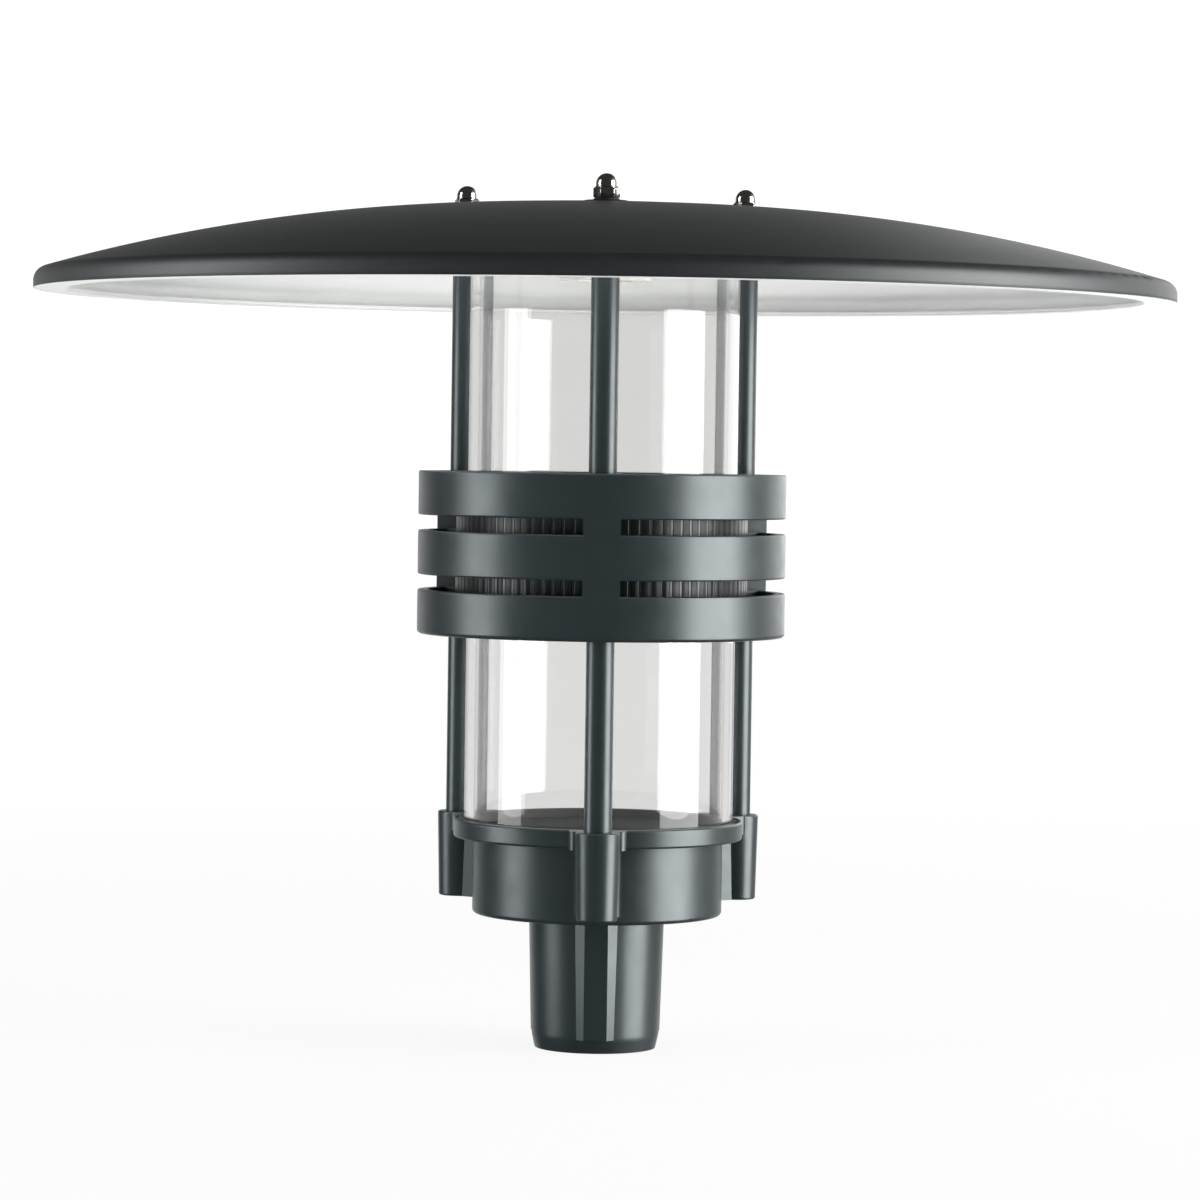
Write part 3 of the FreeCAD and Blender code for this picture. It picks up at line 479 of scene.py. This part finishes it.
def added_piece(name, mesh, finish):
    """A new smooth piece from a finished bmesh, riding on the part and finish."""
    bmesh.ops.recalc_face_normals(mesh, faces=mesh.faces)
    data = mesh_data(name, mesh)
    for polygon in data.polygons:
        polygon.use_smooth = True
    piece = in_scene(name, data)
    dress(piece, finish)
    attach(piece, "root")
    return piece


def skin(mesh, loops, ring=False):
    """A closed skin over loops of as many points each.

    A ring's last loop joins its first, and any other skin has a face on its first and last loop.
    """
    if ring:
        loops = loops + loops[:1]
    else:
        mesh.faces.new(loops[0])
        mesh.faces.new(loops[-1])
    count = len(loops[0])
    for lower, upper in zip(loops[:-1], loops[1:]):
        for step in range(count):
            following = (step + 1) % count
            mesh.faces.new((lower[step], lower[following], upper[following], upper[step]))


def lathe(mesh, centre, profile, steps, ring=False):
    """A skin of revolution about an upright axis; a profile's row is a height and a radius by angle."""
    loops = []
    for height, radius_at in profile:
        loop = []
        for step in range(steps):
            angle = 2.0 * math.pi * step / steps
            radius = radius_at(angle)
            place = (centre.x + radius * math.cos(angle), centre.y + radius * math.sin(angle), height)
            loop.append(mesh.verts.new(place))
        loops.append(loop)
    skin(mesh, loops, ring)


def round_row(radius):
    """A profile's radius that is the same at every angle."""
    return lambda angle: radius


# Added pieces

def socket_thread(finish):
    """The rolled sheet thread inside the lamp holder: one closed skin that winds up the socket."""
    low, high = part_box("lampholder_shell")
    mesh = bmesh.new()
    loops = []
    for step in range(THREAD_STEPS):
        angle = 2.0 * math.pi * step / THREAD_STEPS
        across, along = math.cos(angle), math.sin(angle)
        outside, inside = [], []
        for row in range(THREAD_ROWS + 1):
            height = low.z + (high.z - low.z) * row / THREAD_ROWS
            fade = min(1.0, min(height - low.z, high.z - height) / THREAD_PITCH)
            wave = 0.5 - 0.5 * math.cos(2.0 * math.pi * (height - low.z) / THREAD_PITCH - angle)
            outer = high.x - THREAD_DEPTH * wave * fade
            inner = outer - THREAD_SHEET
            outside.append(mesh.verts.new((outer * across, outer * along, height)))
            inside.append(mesh.verts.new((inner * across, inner * along, height)))
        loops.append(outside + inside[::-1])
    skin(mesh, loops, ring=True)
    piece = added_piece("socket_thread", mesh, finish)
    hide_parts("lampholder_shell")


def degrees_apart(first, second):
    """The smaller angle between two directions."""
    return abs((first - second + 180.0) % 360.0 - 180.0)


def rib_section(height_share):
    """Section of one rib as distances outwards and across: a low swell that runs out on the wall."""
    root = LINER_RADIUS - RIB_ROOT
    section = [(root, -RIB_HALF_WIDTH)]
    for step in range(RIB_SECTION_STEPS + 1):
        across = 2.0 * step / RIB_SECTION_STEPS - 1.0
        swell = 0.5 + 0.5 * math.cos(math.pi * across)
        rise = RIB_HEIGHT * height_share * swell - RIB_SAG * across ** 2
        section.append((LINER_RADIUS + rise, RIB_HALF_WIDTH * across))
    section.append((root, RIB_HALF_WIDTH))
    return section


def liner_ribs(finish):
    """Fine upright ribs on the wall behind the slots, faint in the upper row and none at the bridges."""
    low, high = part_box("louvre_ring")
    bottom = low.z + RIB_END_GAP
    top = high.z - RIB_END_GAP
    mesh = bmesh.new()
    for index in range(RIB_COUNT):
        degrees = 360.0 * index / RIB_COUNT
        if min(degrees_apart(degrees, bridge) for bridge in ROD_ANGLES) < BRIDGE_HALF_ANGLE:
            continue
        turn = Matrix.Rotation(math.radians(degrees), 3, "Z")
        own_share = RIB_MEAN_SHARE + RIB_SWING * math.sin(RIB_WAVER_RADIANS * index)
        loops = []
        for up, share in RIB_ROWS:
            height = bottom + up * (top - bottom)
            section = rib_section(share * own_share)
            loops.append([mesh.verts.new(turn @ Vector((x, y, height))) for x, y in section])
        skin(mesh, loops)
    added_piece("liner_ribs", mesh, finish)


def rod_places():
    """The rods' places round the axis."""
    for degrees in ROD_ANGLES:
        turn = math.radians(degrees)
        yield Vector((ROD_CIRCLE_RADIUS * math.cos(turn), ROD_CIRCLE_RADIUS * math.sin(turn), 0.0))


def hex_row(limit, flat_way):
    """Radius of the nut's hexagon by angle, turned off where it would stand out past the limit."""
    flat_to_flat = math.pi / 3.0

    def radius_at(angle):
        """Distance from the nut's axis out to its nearest flat, or the limit."""
        off_flat = (angle - flat_way + flat_to_flat / 2.0) % flat_to_flat - flat_to_flat / 2.0
        return min(limit, NUT_FLATS / 2.0 / math.cos(off_flat))

    return radius_at


def cap_nut_profile(base, flat_way):
    """Rows from the end of the thread out over the seat, up the hexagon and neck, and over the dome."""
    corner = NUT_FLATS / math.sqrt(3.0)
    face = NUT_FLATS / 2.0 * NUT_FACE_SHARE
    chamfer = (corner - face) * math.tan(math.radians(NUT_CHAMFER_ANGLE))
    hex_top = base + NUT_HEX_HEIGHT
    neck_top = hex_top + NUT_NECK
    rows = [(base + NUT_BORE_DEPTH, round_row(NUT_BORE_RADIUS)), (base, round_row(NUT_BORE_RADIUS))]
    hexagon = ((base, face), (base + chamfer, corner), (hex_top - chamfer, corner), (hex_top, face))
    for height, limit in hexagon:
        rows.append((height, hex_row(limit, flat_way)))
    rows.append((hex_top, round_row(NUT_DOME_RADIUS + NUT_EDGE)))
    rows.append((hex_top + NUT_EDGE, round_row(NUT_DOME_RADIUS)))
    for row in range(NUT_DOME_ROWS):
        lean = 0.5 * math.pi * row / NUT_DOME_ROWS
        height = neck_top + NUT_DOME_RADIUS * math.sin(lean)
        rows.append((height, round_row(NUT_DOME_RADIUS * math.cos(lean))))
    return rows


def polished_nuts(finish):
    """The three cap nuts as they are tightened on, with a flat nearly towards the viewer."""
    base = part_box("cap_nuts")[0].z
    mesh = bmesh.new()
    for centre, turn in zip(rod_places(), NUT_TURNS):
        flat_way = math.radians(VIEWER_ANGLE + turn)
        lathe(mesh, centre, cap_nut_profile(base, flat_way), NUT_STEPS)
    piece = added_piece("polished_nuts", mesh, finish)
    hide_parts("cap_nuts")


def washer_profile(bottom, top):
    """Rows down the bore, out and up the pressed edge."""
    thick = top - bottom
    rows = [(top, round_row(NUT_BORE_RADIUS)), (bottom, round_row(NUT_BORE_RADIUS))]
    for row in range(WASHER_EDGE_ROWS + 1):
        share = row / WASHER_EDGE_ROWS
        drawn_in = WASHER_BULGE_SHARE * thick * (2.0 * share - 1.0) ** 2
        rows.append((bottom + share * thick, round_row(WASHER_RADIUS - drawn_in)))
    return rows


def nut_washers(finish):
    """Rubber washers that hardly show past the nuts, their edges pressed round."""
    low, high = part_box("seal_washers")
    mesh = bmesh.new()
    for centre in rod_places():
        lathe(mesh, centre, washer_profile(low.z, high.z), WASHER_STEPS, ring=True)
    piece = added_piece("nut_washers", mesh, finish)
    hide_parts("seal_washers")


# Floor, world, lamps and camera

def ground_seen(tree):
    """How white the floor is: 1 to the eye, a shade greyer through the glass and 0 to other rays."""
    path = tree.nodes.new("ShaderNodeLightPath").outputs
    through = calc(tree, "MULTIPLY", path["Is Transmission Ray"], WHITE_THROUGH_GLASS)
    return calc(tree, "MAXIMUM", path["Is Camera Ray"], through)


def floor_finish(name):
    """Pale ground that reads as white and keeps part of the shadow on it; clear from below."""
    material = bpy.data.materials.new(name)
    tree = empty_tree(material)
    plain = tree.nodes.new("ShaderNodeBsdfDiffuse")
    tree.links.new(tinted(tree, FLOOR_COLOUR, FLOOR_DRIFT, FLOOR_LUMPS), plain.inputs["Color"])
    white = tree.nodes.new("ShaderNodeEmission")
    away = tree.nodes.new("ShaderNodeVectorMath")
    away.operation = "LENGTH"
    tree.links.new(object_place(tree), away.inputs[0])
    share = spread(tree, away.outputs["Value"], FLOOR_WHITE_NEAR, FLOOR_WHITE_FAR, FLOOR_WHITE_DISTANCES)
    seen = calc(tree, "MULTIPLY", ground_seen(tree), share)
    ground = mix_shaders(tree, seen, plain.outputs["BSDF"], white.outputs["Emission"])
    underside = tree.nodes.new("ShaderNodeNewGeometry").outputs["Backfacing"]
    clear = tree.nodes.new("ShaderNodeBsdfTransparent").outputs["BSDF"]
    output = tree.nodes.new("ShaderNodeOutputMaterial")
    tree.links.new(mix_shaders(tree, underside, ground, clear), output.inputs["Surface"])
    return material


def make_floor():
    """A wide pale disc under the part."""
    mesh = bmesh.new()
    bmesh.ops.create_circle(mesh, cap_ends=True, radius=FLOOR_RADIUS, segments=FLOOR_EDGE_STEPS)
    floor = in_scene("floor", mesh_data("floor", mesh))
    floor.data.materials.append(floor_finish("pale_floor"))
    floor.visible_glossy = False
    floor.visible_shadow = False


def room_level(tree, way):
    """What reflections show: a white backdrop low behind, a glow on the right and else a dim room."""
    behind = spread(tree, way["Y"], 0.0, 1.0, BACKDROP_SEEN_Y)
    low = spread(tree, way["Z"], 1.0, 0.0, BACKDROP_SEEN_Z)
    backdrop = calc(tree, "MULTIPLY", behind, low)
    rightward = spread(tree, way["X"], 0.0, RIGHT_GLOW, RIGHT_GLOW_X)
    glow = calc(tree, "MULTIPLY", rightward, spread(tree, way["Y"], 0.0, 1.0, RIGHT_GLOW_Y))
    return spread(tree, calc(tree, "MAXIMUM", backdrop, glow), ROOM_IN_REFLECTIONS, 1.0, FULL_RANGE)


def make_world():
    """White to the eye, a shade greyer through the glass, a room in reflections, and even light elsewhere.

    A ray through the glass counts as glossy too, so it is taken out of the reflected ones.
    """
    world = bpy.data.worlds.new("studio")
    tree = empty_tree(world)
    path = tree.nodes.new("ShaderNodeLightPath").outputs
    way = split(tree, tree.nodes.new("ShaderNodeTexCoord").outputs["Generated"])
    even = calc(tree, "ADD", spread(tree, way["Y"], 0.0, BACKDROP_LIGHT, BACKDROP_LIGHT_Y), AMBIENT)
    reflected = calc(tree, "SUBTRACT", path["Is Glossy Ray"], path["Is Transmission Ray"])
    mirrored = calc(tree, "MULTIPLY", reflected, calc(tree, "SUBTRACT", room_level(tree, way), even))
    change = calc(tree, "SUBTRACT", WHITE_THROUGH_GLASS, even)
    through = calc(tree, "MULTIPLY", path["Is Transmission Ray"], change)
    lit = calc(tree, "ADD", even, calc(tree, "ADD", mirrored, through))
    level = calc(tree, "MAXIMUM", path["Is Camera Ray"], lit)
    background = tree.nodes.new("ShaderNodeBackground")
    background.inputs["Color"].default_value = (1.0, 1.0, 1.0, 1.0)
    tree.links.new(level, background.inputs["Strength"])
    output = tree.nodes.new("ShaderNodeOutputWorld")
    tree.links.new(background.outputs["Background"], output.inputs["Surface"])
    bpy.context.scene.world = world


def make_panel(name, place, target, size, radiance):
    """A soft rectangular lamp that faces a target; its radiance is what a mirror would show of it."""
    width, height = size
    lamp = bpy.data.lights.new(name, "AREA")
    lamp.shape = "RECTANGLE"
    lamp.size = width
    lamp.size_y = height
    lamp.energy = radiance * math.pi * width * height
    panel = in_scene(name, lamp)
    panel.location = place
    towards = Vector(target) - Vector(place)
    panel.rotation_euler = towards.to_track_quat("-Z", "Y").to_euler()
    panel.visible_camera = False
    return panel


def make_softbox(name, angle, width, bottom, top, radiance):
    """A tall panel facing the axis; the angle is from the viewer's side, positive to the right."""
    turn = math.radians(angle)
    middle = (bottom + top) / 2.0
    place = (SOFTBOX_DISTANCE * math.sin(turn), -SOFTBOX_DISTANCE * math.cos(turn), middle)
    make_panel(name, place, (0.0, 0.0, middle), (width, top - bottom), radiance)


def make_lamps():
    """The soft boxes, and two panels that don't show through the glass, the low one not in gloss either."""
    make_softbox("softbox_left", **LEFT_SOFTBOX)
    make_softbox("softbox_right", **RIGHT_SOFTBOX)
    back_card = make_panel("back_card", **BACK_CARD)
    back_card.visible_transmission = False
    low_fill = make_panel("low_fill", **LOW_FILL)
    low_fill.visible_glossy = False
    low_fill.visible_transmission = False


def make_camera():
    """The photograph's view, with the lean of its object as a roll of the camera."""
    data = bpy.data.cameras.new("camera")
    data.sensor_width = CAMERA_SENSOR_MM
    data.lens = CAMERA_LENS_MM
    camera = in_scene("camera", data)
    pitch = Matrix.Rotation(math.radians(90.0 - CAMERA_DOWN), 4, "X")
    roll = Matrix.Rotation(math.radians(CAMERA_ROLL), 4, "Z")
    camera.matrix_world = Matrix.Translation(CAMERA_PLACE) @ pitch @ roll
    bpy.context.scene.camera = camera


finishes = make_finishes()
cover_finish = rough_casting("rough_dark_casting", roughness=(0.70, 0.95), grain=0.0012)
rib_finish = liner_finish("dark_liner_sheet", roughness=(0.28, 0.40), grain=0.00012)
dress_solids(finishes, {"base_cover": cover_finish})

socket_thread(finishes["brass"])
liner_ribs(rib_finish)
polished_nuts(finishes["stainless"])
nut_washers(finishes["black_rubber"])

make_floor()
make_world()
make_lamps()
make_camera()
bpy.context.scene.view_settings.view_transform = "Standard"
